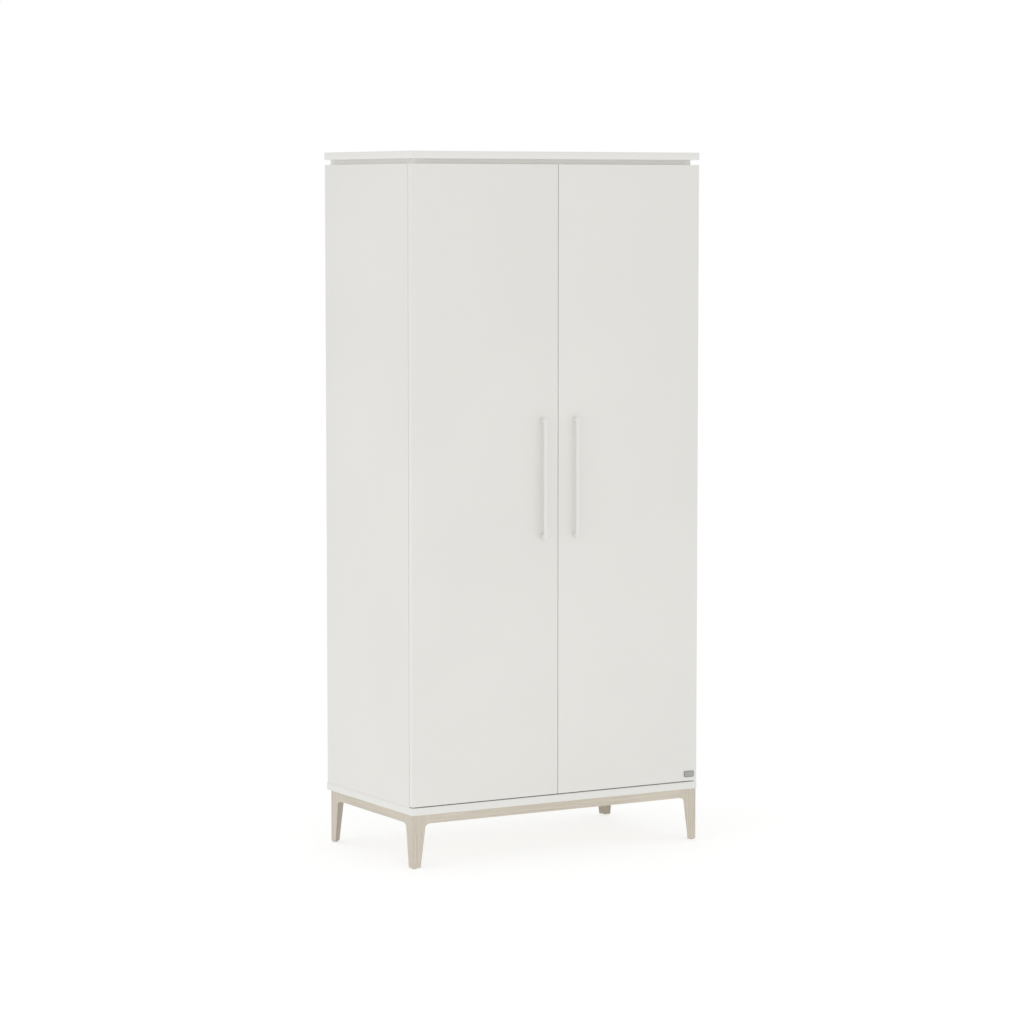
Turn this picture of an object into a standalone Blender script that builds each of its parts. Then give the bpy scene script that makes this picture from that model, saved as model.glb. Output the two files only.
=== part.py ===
"""Two-door wardrobe on a tapered oak base, with a floating top slab. Metres, +Z up.

The origin is under the middle of the whole box, on the floor. +X is the wardrobe's
left-to-right direction for a person facing it, and the doors face -Y.
"""

import math

import bmesh
import bpy
from mathutils import Matrix, Vector

# Driving sizes.
WIDTH = 0.940
HEIGHT = 1.990
SLAB_DEPTH = 0.520
SLAB_THICKNESS = 0.021
BOARD = 0.018
DOOR_THICKNESS = 0.019
BASE_HEIGHT = 0.150
RECESS_HEIGHT = 0.014
GLUE_LINE = 0.0003
EDGE_RADIUS = 0.0006

# Doors and handles.
SEAM = 0.002
DOOR_SIDE_INSET = 0.001
DOOR_BOTTOM_GAP = 0.003
DOOR_BACK_GAP = 0.002
HINGE_AXIS_INSET = 0.008
HANDLE_LENGTH = 0.340
HANDLE_WIDTH = 0.010
HANDLE_BAR = 0.0075
HANDLE_POST = 0.012
HANDLE_PROJECTION = 0.0225
HANDLE_FROM_SEAM = 0.0525
HANDLE_HEIGHT = 1.0745
HANDLE_EDGE_RADIUS = 0.0012

# Recessed strips that carry the top slab.
RECESS_SIDE_INSET = 0.018
RECESS_FRONT_INSET = 0.0195
STRIP_WIDTH = 0.060

# Back.
BACK_SETBACK = 0.004
BACK_PANEL = 0.003
BACK_PANEL_SIDE_INSET = 0.002

# Base frame.
RAIL_HEIGHT = 0.025
RAIL_THICKNESS = 0.020
BASE_SIDE_INSET = 0.002
BASE_FRONT_INSET = 0.0015
BASE_BACK_INSET = 0.022
LEG_FOOT_WIDTH = 0.025
LEG_TAPER_TOP = 0.112
LEG_TAPER_WIDTH = 0.040
LEG_HEAD_WIDTH = 0.056
LEG_BLUNT = 0.003
LEG_FILLET_STEPS = 6
GLIDE_RADIUS = 0.0062
GLIDE_THICKNESS = 0.002
GLIDE_FROM_CORNER = 0.0078

# Interior.
SHELF_FRONT_SETBACK = 0.020
SHELF_CLEARANCE = 0.001
FIXED_SHELF_UNDERSIDE = 1.620
LOOSE_SHELF_UNDERSIDES = (0.511, 0.871, 1.231)
RAIL_CENTRE_HEIGHT = 1.562
RAIL_TALL = 0.030
RAIL_WIDE = 0.015
RAIL_WALL = 0.0012
SOCKET_FLANGE = 0.003
SOCKET_DEPTH = 0.013
SOCKET_WALL = 0.0025
BRACKET_LEAF = 0.032
BRACKET_WIDTH = 0.036
BRACKET_SHEET = 0.002
BRACKET_FROM_CENTRE = 0.230

# Concealed hinges.
HINGE_HEIGHTS = (0.274, 0.801, 1.328, 1.855)
CUP_RADIUS = 0.0175
CUP_WALL = 0.0012
CUP_DEPTH = 0.0125
CUP_FROM_EDGE = 0.0225
CUP_WING_LENGTH = 0.052
CUP_WING_WIDTH = 0.013
CUP_WING_SHEET = 0.0011
ARM_WIDTH = 0.015
PLATE_WIDTH = 0.048
PLATE_START = 0.030
PLATE_END = 0.044
PLATE_SHEET = 0.0022

# Small trim.
BUMPER_RADIUS = 0.0032
BUMPER_THICKNESS = 0.0014
BUMPER_FROM_SEAM = 0.0052
BUMPER_HEIGHTS = (0.240, 1.900)
PLAQUE_LENGTH = 0.033
PLAQUE_WIDTH = 0.017
PLAQUE_THICKNESS = 0.0012
PLAQUE_CORNER = 0.003
PLAQUE_FROM_EDGE = 0.026
PLAQUE_FROM_BOTTOM = 0.020
ROUND_STEPS = 24

# Places that follow from the sizes.
HALF_WIDTH = WIDTH / 2
BACK = (SLAB_DEPTH + HANDLE_PROJECTION) / 2
FRONT = BACK - SLAB_DEPTH
DOOR_BACK = FRONT + DOOR_THICKNESS
BOARD_FRONT = DOOR_BACK + DOOR_BACK_GAP
BOARD_BACK = BACK - BACK_SETBACK
SLAB_TOP = BASE_HEIGHT + SLAB_THICKNESS
RECESS_TOP = HEIGHT - SLAB_THICKNESS
CARCASS_TOP = RECESS_TOP - RECESS_HEIGHT
TOP_PANEL_UNDERSIDE = CARCASS_TOP - BOARD
OUTER_X = HALF_WIDTH - DOOR_SIDE_INSET
INNER_X = OUTER_X - BOARD
DIVIDER_X = BOARD / 2
DOOR_BOTTOM = SLAB_TOP + DOOR_BOTTOM_GAP
AXIS_X = OUTER_X - HINGE_AXIS_INSET

WHITE = (0.78, 0.77, 0.75)
OAK = (0.59, 0.53, 0.45)
BACK_WHITE = (0.74, 0.73, 0.71)
HANDLE_WHITE = (0.80, 0.80, 0.79)
STEEL = (0.62, 0.62, 0.61)
CHROME = (0.75, 0.75, 0.76)
PALE_PLASTIC = (0.70, 0.70, 0.69)
CLEAR_GEL = (0.82, 0.83, 0.82)
PLAQUE_GREY = (0.16, 0.16, 0.155)


def clear_scene():
    for thing in list(bpy.data.objects):
        bpy.data.objects.remove(thing, do_unlink=True)


def new_collection(name):
    group = bpy.data.collections.new(name)
    bpy.context.scene.collection.children.link(group)
    return group


def new_material(name, colour, roughness, metallic=0.0):
    material = bpy.data.materials.new(name)
    material.use_nodes = True
    shader = material.node_tree.nodes["Principled BSDF"]
    shader.inputs["Base Color"].default_value = (*colour, 1.0)
    shader.inputs["Roughness"].default_value = roughness
    shader.inputs["Metallic"].default_value = metallic
    material.diffuse_color = (*colour, 1.0)
    return material


def put_in(group, thing):
    for owner in list(thing.users_collection):
        owner.objects.unlink(thing)
    group.objects.link(thing)


def finish_part(thing, name, material):
    """Names an object as a part, files it and gives it its material."""
    thing.name = name
    thing.data.materials.clear()
    thing.data.materials.append(material)
    put_in(parts, thing)
    return thing


def add_bevel(thing, radius, segments=1):
    bevel = thing.modifiers.new("edges", "BEVEL")
    bevel.width = radius
    bevel.segments = segments
    bevel.limit_method = "ANGLE"
    return bevel


def box_object(low, high):
    """A box from its lowest corner to its highest, with its scale applied."""
    centre = (Vector(low) + Vector(high)) / 2
    size = Vector(high) - Vector(low)
    bpy.ops.mesh.primitive_cube_add(size=1, location=centre)
    box = bpy.context.active_object
    box.data.transform(Matrix.Diagonal((*size, 1)))
    return box


def board(name, low, high, material, radius=EDGE_RADIUS):
    """A flat board with softened edges."""
    panel = finish_part(box_object(low, high), name, material)
    add_bevel(panel, radius)
    return panel


def combine(thing, tool, operation):
    """Cuts or joins thing with tool, which is kept out of the part."""
    tool.hide_render = True
    tool.display_type = "WIRE"
    put_in(cutters, tool)
    cut = thing.modifiers.new(operation.lower(), "BOOLEAN")
    cut.operation = operation
    cut.solver = "EXACT"
    cut.object = tool


def cylinder(radius, start, end):
    """A round bar between two points."""
    start, end = Vector(start), Vector(end)
    bpy.ops.mesh.primitive_cylinder_add(
        vertices=ROUND_STEPS,
        radius=radius,
        depth=(end - start).length,
        location=(start + end) / 2,
        rotation=(end - start).to_track_quat("Z", "Y").to_euler(),
    )
    return bpy.context.active_object


def outline_object(loops, half_thickness, place):
    """A flat outline, with any holes as further loops, thickened both ways from its plane."""
    curve = bpy.data.curves.new("outline", "CURVE")
    curve.dimensions = "2D"
    curve.fill_mode = "BOTH"
    curve.extrude = half_thickness
    for points in loops:
        spline = curve.splines.new("POLY")
        spline.points.add(len(points) - 1)
        for target, (across, along) in zip(spline.points, points):
            target.co = (across, along, 0, 1)
        spline.use_cyclic_u = True
    flat = bpy.data.objects.new("outline", curve)
    bpy.context.scene.collection.objects.link(flat)
    flat.matrix_world = place
    return flat


def as_mesh(source):
    """The evaluated shape of an object as a welded mesh object, with its place in its mesh."""
    bpy.context.view_layer.update()
    evaluated = source.evaluated_get(bpy.context.evaluated_depsgraph_get())
    mesh = bpy.data.meshes.new_from_object(evaluated)
    mesh.transform(source.matrix_world)
    shape = bmesh.new()
    shape.from_mesh(mesh)
    bmesh.ops.remove_doubles(shape, verts=shape.verts, dist=0.00002)
    bmesh.ops.recalc_face_normals(shape, faces=shape.faces)
    shape.to_mesh(mesh)
    shape.free()
    solid = bpy.data.objects.new(source.name, mesh)
    bpy.context.scene.collection.objects.link(solid)
    bpy.data.objects.remove(source, do_unlink=True)
    return solid


def plane_place(origin, across, along):
    """The placement of an outline whose two directions and origin are given."""
    across, along = Vector(across), Vector(along)
    turn = Matrix((across, along, across.cross(along))).transposed()
    return Matrix.Translation(origin) @ turn.to_4x4()


def copy_of(solid, name, material, place):
    """Another object with the same mesh, placed by a matrix."""
    twin = bpy.data.objects.new(name, solid.data)
    bpy.context.scene.collection.objects.link(twin)
    twin.matrix_world = place
    return finish_part(twin, name, material)


def hang_on(axis, thing):
    """Parents a part to the empty on its hinge line and leaves it where it is."""
    thing.parent = axis
    thing.matrix_parent_inverse = Matrix.Translation(-axis.location)


def stadium(length, width):
    """The points of a flat shape with straight sides and round ends."""
    radius = width / 2
    straight = length / 2 - radius
    half = ROUND_STEPS // 2
    points = []
    for end in (1, -1):
        for step in range(half + 1):
            angle = math.pi * step / half - math.pi / 2
            points.append((end * (straight + radius * math.cos(angle)), end * radius * math.sin(angle)))
    return points


def rounded_rectangle(length, width, radius):
    """The points of a flat rectangle whose corners are quarter circles."""
    quarter = ROUND_STEPS // 4
    points = []
    for turn in range(4):
        right = 1 if turn in (0, 3) else -1
        upper = 1 if turn in (0, 1) else -1
        for step in range(quarter + 1):
            angle = math.pi / 2 * (turn + step / quarter)
            points.append(
                (
                    right * (length / 2 - radius) + radius * math.cos(angle),
                    upper * (width / 2 - radius) + radius * math.sin(angle),
                )
            )
    return points


def make_slabs():
    for name, low, high in (
        ("bottom_slab", BASE_HEIGHT, SLAB_TOP),
        ("top_slab", RECESS_TOP, HEIGHT),
    ):
        board(name, (-HALF_WIDTH, FRONT, low), (HALF_WIDTH, BACK, high), white)


def make_carcass():
    low, high = SLAB_TOP + GLUE_LINE, CARCASS_TOP
    board("left_side_panel", (-OUTER_X, BOARD_FRONT, low), (-INNER_X, BOARD_BACK, high), white)
    board("right_side_panel", (INNER_X, BOARD_FRONT, low), (OUTER_X, BOARD_BACK, high), white)
    reach = INNER_X - GLUE_LINE
    board("carcass_top_panel", (-reach, BOARD_FRONT, TOP_PANEL_UNDERSIDE), (reach, BOARD_BACK, high), white)
    under = TOP_PANEL_UNDERSIDE - GLUE_LINE
    board("centre_divider", (-DIVIDER_X, BOARD_FRONT, low), (DIVIDER_X, BOARD_BACK, under), white)
    behind = BOARD_BACK + GLUE_LINE
    edge = HALF_WIDTH - BACK_PANEL_SIDE_INSET
    for name, left, right in (
        ("back_panel_left", -edge, -GLUE_LINE),
        ("back_panel_right", GLUE_LINE, edge),
    ):
        board(name, (left, behind, low), (right, behind + BACK_PANEL, high), back_white, GLUE_LINE)


def make_recess_strips():
    low, high = CARCASS_TOP + GLUE_LINE, RECESS_TOP - GLUE_LINE
    side = HALF_WIDTH - RECESS_SIDE_INSET
    front = FRONT + RECESS_FRONT_INSET
    board("recess_strip_front", (-side, front, low), (side, front + STRIP_WIDTH, high), white)
    board("recess_strip_back", (-side, BOARD_BACK - STRIP_WIDTH, low), (side, BOARD_BACK, high), white)
    near = front + STRIP_WIDTH + GLUE_LINE
    far = BOARD_BACK - STRIP_WIDTH - GLUE_LINE
    inner = side - STRIP_WIDTH
    board("recess_strip_left", (-side, near, low), (-inner, far, high), white)
    board("recess_strip_right", (inner, near, low), (side, far, high), white)


def make_shelves():
    front = BOARD_FRONT + SHELF_FRONT_SETBACK
    near, far = DIVIDER_X + GLUE_LINE, INNER_X - GLUE_LINE
    low = FIXED_SHELF_UNDERSIDE
    high = low + BOARD
    board("hat_shelf", (-far, front, low), (-near, BOARD_BACK, high), white)
    board("fixed_shelf", (near, front, low), (far, BOARD_BACK, high), white)
    near, far = DIVIDER_X + SHELF_CLEARANCE, INNER_X - SHELF_CLEARANCE
    for number, low in enumerate(LOOSE_SHELF_UNDERSIDES, 1):
        high = low + BOARD
        board(f"loose_shelf_{number}", (near, front, low), (far, BOARD_BACK - SHELF_CLEARANCE, high), white)


def make_hanging_rail():
    """An oval tube between two sockets, each an oval flange with a raised collar."""
    middle = (BOARD_FRONT + BOARD_BACK) / 2
    left, right = -INNER_X + GLUE_LINE, -DIVIDER_X - GLUE_LINE
    start, end = left + SOCKET_FLANGE + GLUE_LINE, right - SOCKET_FLANGE - GLUE_LINE
    place = plane_place(((start + end) / 2, middle, RAIL_CENTRE_HEIGHT), (0, 0, 1), (0, 1, 0))
    loops = [stadium(RAIL_TALL, RAIL_WIDE), stadium(RAIL_TALL - 2 * RAIL_WALL, RAIL_WIDE - 2 * RAIL_WALL)]
    finish_part(outline_object(loops, (end - start) / 2, place), "hanging_rail", chrome)

    bore = 2 * GLUE_LINE
    collar = 2 * SOCKET_WALL
    for side, face, inward in (("left", left, 1), ("right", right, -1)):
        flange_place = plane_place(
            (face + inward * SOCKET_FLANGE / 2, middle, RAIL_CENTRE_HEIGHT), (0, 0, 1), (0, 1, 0)
        )
        loops = [stadium(RAIL_TALL + 4 * collar, RAIL_WIDE + 3 * collar)]
        flange = as_mesh(outline_object(loops, SOCKET_FLANGE / 2, flange_place))
        reach = (SOCKET_DEPTH + GLUE_LINE) / 2
        tube_place = plane_place(
            (face + inward * (SOCKET_DEPTH - reach), middle, RAIL_CENTRE_HEIGHT), (0, 0, 1), (0, 1, 0)
        )
        loops = [stadium(RAIL_TALL + bore + collar, RAIL_WIDE + bore + collar)]
        sleeve = as_mesh(outline_object(loops, reach, tube_place))
        hole_place = plane_place(
            (face + inward * (SOCKET_FLANGE + SOCKET_DEPTH / 2), middle, RAIL_CENTRE_HEIGHT), (0, 0, 1), (0, 1, 0)
        )
        loops = [stadium(RAIL_TALL + bore, RAIL_WIDE + bore)]
        hole = as_mesh(outline_object(loops, SOCKET_DEPTH / 2, hole_place))
        combine(flange, sleeve, "UNION")
        combine(flange, hole, "DIFFERENCE")
        finish_part(flange, f"rail_socket_{side}", steel)


def make_brackets():
    """Angle brackets under the top panel, which take a screw through the back into the wall."""
    corner_y = BOARD_BACK - GLUE_LINE
    corner_z = TOP_PANEL_UNDERSIDE - GLUE_LINE
    angle = [
        (0, 0),
        (BRACKET_LEAF, 0),
        (BRACKET_LEAF, BRACKET_SHEET),
        (BRACKET_SHEET, BRACKET_SHEET),
        (BRACKET_SHEET, BRACKET_LEAF),
        (0, BRACKET_LEAF),
    ]
    for side, sign in (("left", -1), ("right", 1)):
        place = plane_place((sign * BRACKET_FROM_CENTRE, corner_y, corner_z), (0, -1, 0), (0, 0, -1))
        finish_part(outline_object([angle], BRACKET_WIDTH / 2, place), f"anti_tip_bracket_{side}", steel)


def leg_sections():
    """(height, width along each outer face, blunt edge) at each level of a leg, foot first.

    The section is a right triangle with its inner face across the corner. It widens evenly
    up to the taper's top, and then flares in a quarter curve into the rails' underside.
    """
    rail_underside = BASE_HEIGHT - RAIL_HEIGHT
    flare_height = rail_underside - LEG_TAPER_TOP
    flare_width = LEG_HEAD_WIDTH - LEG_TAPER_WIDTH
    sections = [
        (GLIDE_THICKNESS + GLUE_LINE, LEG_FOOT_WIDTH, LEG_BLUNT),
        (LEG_TAPER_TOP, LEG_TAPER_WIDTH, LEG_BLUNT),
    ]
    for step in range(1, LEG_FILLET_STEPS + 1):
        turn = math.pi / 2 * step / LEG_FILLET_STEPS
        rise = math.sin(turn)
        spread = 1 - math.cos(turn)
        blunt = LEG_BLUNT + (RAIL_THICKNESS - LEG_BLUNT) * spread
        sections.append((LEG_TAPER_TOP + flare_height * rise, LEG_TAPER_WIDTH + flare_width * spread, blunt))
    sections.append((BASE_HEIGHT - GLUE_LINE, LEG_HEAD_WIDTH, RAIL_THICKNESS))
    return sections


def leg_mesh():
    """A leg as a loft with its outer corner on the local Z axis, spreading to +X and +Y."""
    shape = bmesh.new()
    rings = []
    for height, width, blunt in leg_sections():
        corners = ((0, 0), (width, 0), (width, blunt), (blunt, width), (0, width))
        rings.append([shape.verts.new((x, y, height)) for x, y in corners])
    for lower, upper in zip(rings, rings[1:]):
        for side in range(len(lower)):
            after = (side + 1) % len(lower)
            shape.faces.new((lower[side], lower[after], upper[after], upper[side]))
    shape.faces.new(reversed(rings[0]))
    shape.faces.new(rings[-1])
    bmesh.ops.recalc_face_normals(shape, faces=shape.faces)
    mesh = bpy.data.meshes.new("leg")
    shape.to_mesh(mesh)
    shape.free()
    return mesh


def make_base():
    outer_x = HALF_WIDTH - BASE_SIDE_INSET
    front = FRONT + BASE_FRONT_INSET
    back = BACK - BASE_BACK_INSET
    low, high = BASE_HEIGHT - RAIL_HEIGHT, BASE_HEIGHT - GLUE_LINE
    reach = outer_x - LEG_HEAD_WIDTH - GLUE_LINE
    board("base_rail_front", (-reach, front, low), (reach, front + RAIL_THICKNESS, high), oak)
    board("base_rail_back", (-reach, back - RAIL_THICKNESS, low), (reach, back, high), oak)
    near = front + LEG_HEAD_WIDTH + GLUE_LINE
    far = back - LEG_HEAD_WIDTH - GLUE_LINE
    board("base_rail_left", (-outer_x, near, low), (-outer_x + RAIL_THICKNESS, far, high), oak)
    board("base_rail_right", (outer_x - RAIL_THICKNESS, near, low), (outer_x, far, high), oak)

    mesh = leg_mesh()
    corners = (
        ("front_left", -outer_x, front, 0),
        ("front_right", outer_x, front, 90),
        ("back_right", outer_x, back, 180),
        ("back_left", -outer_x, back, 270),
    )
    for name, x, y, turn in corners:
        leg = bpy.data.objects.new("leg", mesh)
        bpy.context.scene.collection.objects.link(leg)
        leg.location = (x, y, 0)
        leg.rotation_euler = (0, 0, math.radians(turn))
        finish_part(leg, f"leg_{name}", oak)
        inward_x = math.copysign(GLIDE_FROM_CORNER, -x)
        inward_y = math.copysign(GLIDE_FROM_CORNER, -y)
        centre = Vector((x + inward_x, y + inward_y, 0))
        glide = cylinder(GLIDE_RADIUS, centre, centre + Vector((0, 0, GLIDE_THICKNESS)))
        finish_part(glide, f"glide_{name}", pale_plastic)


def hinge_cup():
    """A hinge cup at the origin: its mouth faces +Y, its bowl sinks to -Y and its wings run along Z."""
    face = GLUE_LINE
    wing = box_object(
        (-CUP_WING_WIDTH / 2, face, -CUP_WING_LENGTH / 2),
        (CUP_WING_WIDTH / 2, face + CUP_WING_SHEET, CUP_WING_LENGTH / 2),
    )
    radius = CUP_RADIUS - GLUE_LINE
    floor = GLUE_LINE - CUP_DEPTH
    bowl = cylinder(radius, (0, floor, 0), (0, face + CUP_WING_SHEET, 0))
    hollow = cylinder(radius - CUP_WALL, (0, floor + CUP_WALL, 0), (0, CUP_DEPTH, 0))
    combine(wing, bowl, "UNION")
    combine(wing, hollow, "DIFFERENCE")
    return as_mesh(wing)


def hinge_arm():
    """A hinge arm at the origin, on a panel that faces +X, with its nose to -Y and a plate across it."""
    side = [
        (0.002, 0.0045),
        (0.022, 0.0045),
        (0.022, GLUE_LINE),
        (0.052, GLUE_LINE),
        (0.052, 0.0075),
        (0.063, 0.0075),
        (0.063, 0.0110),
        (0.058, 0.0140),
        (0.016, 0.0140),
        (0.002, 0.0120),
    ]
    place = plane_place((0, 0, 0), (0, 1, 0), (1, 0, 0))
    arm = as_mesh(outline_object([side], ARM_WIDTH / 2, place))
    plate = box_object(
        (GLUE_LINE, PLATE_START, -PLATE_WIDTH / 2),
        (GLUE_LINE + PLATE_SHEET, PLATE_END, PLATE_WIDTH / 2),
    )
    combine(arm, plate, "UNION")
    return as_mesh(arm)


def make_hinges(axes):
    cup = hinge_cup()
    arm = hinge_arm()
    for side, sign in (("left", -1), ("right", 1)):
        cup_x = sign * (OUTER_X - CUP_FROM_EDGE)
        for number, height in enumerate(HINGE_HEIGHTS, 1):
            place = Matrix.Translation((cup_x, DOOR_BACK, height))
            hang_on(axes[side], copy_of(cup, f"hinge_cup_{side}_{number}", steel, place))
            turn = Matrix.Rotation(math.pi if sign > 0 else 0, 4, "Y")
            place = Matrix.Translation((sign * INNER_X, BOARD_FRONT, height)) @ turn
            copy_of(arm, f"hinge_arm_{side}_{number}", steel, place)
    for pattern in (cup, arm):
        bpy.data.objects.remove(pattern, do_unlink=True)


def make_door(side, sign, axis):
    seam = SEAM / 2
    edges = sorted((sign * seam, sign * OUTER_X))
    low = (edges[0], FRONT, DOOR_BOTTOM)
    high = (edges[1], DOOR_BACK, CARCASS_TOP)
    door = board(f"{side}_door", low, high, white)
    cup_x = sign * (OUTER_X - CUP_FROM_EDGE)
    for height in HINGE_HEIGHTS:
        bore = cylinder(
            CUP_RADIUS, (cup_x, DOOR_BACK - CUP_DEPTH, height), (cup_x, DOOR_BACK + CUP_DEPTH, height)
        )
        combine(door, bore, "DIFFERENCE")
    hang_on(axis, door)


def make_handle(side, sign, axis):
    """A square bow handle: a bar that stands off the door on a post at each end."""
    half = HANDLE_LENGTH / 2
    inner = half - HANDLE_POST
    bar_back = HANDLE_PROJECTION - HANDLE_BAR
    bow = [
        (-half, GLUE_LINE),
        (-half, HANDLE_PROJECTION),
        (half, HANDLE_PROJECTION),
        (half, GLUE_LINE),
        (inner, GLUE_LINE),
        (inner, bar_back),
        (-inner, bar_back),
        (-inner, GLUE_LINE),
    ]
    place = plane_place((sign * HANDLE_FROM_SEAM, FRONT, HANDLE_HEIGHT), (0, 0, 1), (0, -1, 0))
    solid = as_mesh(outline_object([bow], HANDLE_WIDTH / 2, place))
    handle = finish_part(solid, f"{side}_handle", handle_white)
    add_bevel(handle, HANDLE_EDGE_RADIUS, 2)
    hang_on(axis, handle)


def make_bumpers(side, sign, axis):
    for place, height in zip(("bottom", "top"), BUMPER_HEIGHTS):
        x = sign * BUMPER_FROM_SEAM
        start = DOOR_BACK + GLUE_LINE
        bumper = cylinder(BUMPER_RADIUS, (x, start, height), (x, start + BUMPER_THICKNESS, height))
        finish_part(bumper, f"bumper_{side}_{place}", clear_gel)
        hang_on(axis, bumper)


def make_plaque(axis):
    """A plain blank plaque low on the right door."""
    centre = (
        OUTER_X - PLAQUE_FROM_EDGE,
        FRONT - GLUE_LINE - PLAQUE_THICKNESS / 2,
        DOOR_BOTTOM + PLAQUE_FROM_BOTTOM,
    )
    place = plane_place(centre, (1, 0, 0), (0, 0, 1))
    outline = rounded_rectangle(PLAQUE_LENGTH, PLAQUE_WIDTH, PLAQUE_CORNER)
    shape = outline_object([outline], PLAQUE_THICKNESS / 2, place)
    hang_on(axis, finish_part(shape, "plaque", plaque_grey))


clear_scene()
parts = new_collection("wardrobe")
cutters = new_collection("cutters")
white = new_material("white_laminate", WHITE, 0.45)
oak = new_material("oak", OAK, 0.55)
back_white = new_material("back_board", BACK_WHITE, 0.6)
handle_white = new_material("handle_paint", HANDLE_WHITE, 0.35)
steel = new_material("hinge_steel", STEEL, 0.3, 1.0)
chrome = new_material("rail_chrome", CHROME, 0.15, 1.0)
pale_plastic = new_material("glide_plastic", PALE_PLASTIC, 0.5)
clear_gel = new_material("bumper_gel", CLEAR_GEL, 0.25)
plaque_grey = new_material("plaque", PLAQUE_GREY, 0.4, 0.6)

make_base()
make_slabs()
make_carcass()
make_recess_strips()
make_shelves()
make_hanging_rail()
make_brackets()

hinge_axes = {}
for door_side, door_sign in (("left", -1), ("right", 1)):
    hinge_line = bpy.data.objects.new(f"{door_side}_hinge_axis", None)
    hinge_line.location = (door_sign * AXIS_X, FRONT, 0)
    parts.objects.link(hinge_line)
    hinge_axes[door_side] = hinge_line
    make_door(door_side, door_sign, hinge_line)
    make_handle(door_side, door_sign, hinge_line)
    make_bumpers(door_side, door_sign, hinge_line)
make_hinges(hinge_axes)
make_plaque(hinge_axes["right"])
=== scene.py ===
# Looks for the two-door wardrobe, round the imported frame: boards, oak base, handles, hinges and fittings.
import math

import bmesh
import bpy
from mathutils import Matrix, Vector


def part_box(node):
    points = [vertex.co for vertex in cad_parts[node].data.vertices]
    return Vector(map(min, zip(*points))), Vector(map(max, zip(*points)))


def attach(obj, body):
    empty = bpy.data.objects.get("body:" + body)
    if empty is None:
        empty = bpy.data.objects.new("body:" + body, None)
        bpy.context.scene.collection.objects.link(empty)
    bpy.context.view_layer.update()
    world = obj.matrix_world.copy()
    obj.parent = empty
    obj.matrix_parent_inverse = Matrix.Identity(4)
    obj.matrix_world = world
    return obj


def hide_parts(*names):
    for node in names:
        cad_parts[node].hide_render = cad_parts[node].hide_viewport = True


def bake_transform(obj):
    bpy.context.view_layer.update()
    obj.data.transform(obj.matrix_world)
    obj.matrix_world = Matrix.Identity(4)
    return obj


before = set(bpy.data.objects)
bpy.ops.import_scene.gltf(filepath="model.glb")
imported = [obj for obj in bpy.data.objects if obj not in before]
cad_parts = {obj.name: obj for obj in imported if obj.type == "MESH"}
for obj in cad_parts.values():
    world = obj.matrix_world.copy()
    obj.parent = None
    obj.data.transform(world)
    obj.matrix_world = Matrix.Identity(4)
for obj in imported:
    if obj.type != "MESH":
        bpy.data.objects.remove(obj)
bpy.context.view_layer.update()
print("frame loaded:", len(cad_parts), "nodes")

sides = {"left": -1, "right": 1}  # and the way along X to each
mm = 0.001
past = 1 * mm  # how far a cutter stands out of what it cuts
near = 0.01 * mm  # places closer than this count as one


# small helpers, used by every piece

def deselectAll():
    if bpy.context.mode != "OBJECT":
        bpy.ops.object.mode_set(mode="OBJECT")
    bpy.ops.object.select_all(action="DESELECT")


def only(piece):
    deselectAll()
    piece.select_set(True)
    bpy.context.view_layer.objects.active = piece


def settle(piece):
    # the place goes into the mesh, the object stays at the origin
    only(piece)
    bpy.ops.object.transform_apply(location=True, rotation=True, scale=True)
    return piece


def addBlock(low, high):
    deselectAll()
    low, high = Vector(low), Vector(high)
    bpy.ops.mesh.primitive_cube_add(size=1, location=(low + high) / 2, scale=high - low)
    return settle(bpy.context.active_object)


def addRod(radius, start, end, sidesRound=24):
    deselectAll()
    start, end = Vector(start), Vector(end)
    bpy.ops.mesh.primitive_cylinder_add(
        vertices=sidesRound,
        radius=radius,
        depth=(end - start).length,
        location=(start + end) / 2,
        rotation=(end - start).to_track_quat("Z", "Y").to_euler(),
    )
    return settle(bpy.context.active_object)


def pick(piece, kind, wanted):
    # goes into edit mode with just the verts, edges or faces selected that pass the test
    only(piece)
    bpy.ops.object.mode_set(mode="EDIT")
    bpy.ops.mesh.select_mode(type=kind)
    bpy.ops.mesh.select_all(action="DESELECT")
    cage = bmesh.from_edit_mesh(piece.data)
    elements = {"VERT": cage.verts, "EDGE": cage.edges, "FACE": cage.faces}[kind]
    for element in elements:
        element.select_set(bool(wanted(element)))
    cage.select_flush_mode()
    bmesh.update_edit_mesh(piece.data)


def runsAlong(edge, axis):
    # true for an edge that runs straight along X (0), Y (1) or Z (2)
    span = edge.verts[1].co - edge.verts[0].co
    return abs(span[axis]) > 0.999 * span.length


def looksAlong(face, axis, way):
    # true for a face that looks along +X, +Y or +Z (way 1), or back along it (way -1)
    return face.normal[axis] * way > 0.9


def halfway(edge):
    return (edge.verts[0].co + edge.verts[1].co) / 2


def leaveEdit():
    bpy.ops.object.mode_set(mode="OBJECT")


def bevelEdges(piece, width, steps, wanted):
    # rounds just the edges that pass the test
    pick(piece, "EDGE", wanted)
    bpy.ops.mesh.bevel(offset=width, segments=steps, affect="EDGES")
    leaveEdit()


def pull(offset):
    bpy.ops.mesh.extrude_region_move(TRANSFORM_OT_translate={"value": offset})


def useModifier(piece, kind, **settings):
    only(piece)
    modifier = piece.modifiers.new(kind.title(), kind)
    for key, value in settings.items():
        setattr(modifier, key, value)
    bpy.ops.object.modifier_apply(modifier=modifier.name)
    return piece


def roundEdges(piece, width, steps=3, angle=30):
    return useModifier(
        piece, "BEVEL", width=width, segments=steps, limit_method="ANGLE", angle_limit=math.radians(angle)
    )


def joinAll(pieces):
    if len(pieces) == 1:
        return pieces[0]
    only(pieces[0])
    for piece in pieces:
        piece.select_set(True)
    bpy.ops.object.join()
    return bpy.context.active_object


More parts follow.
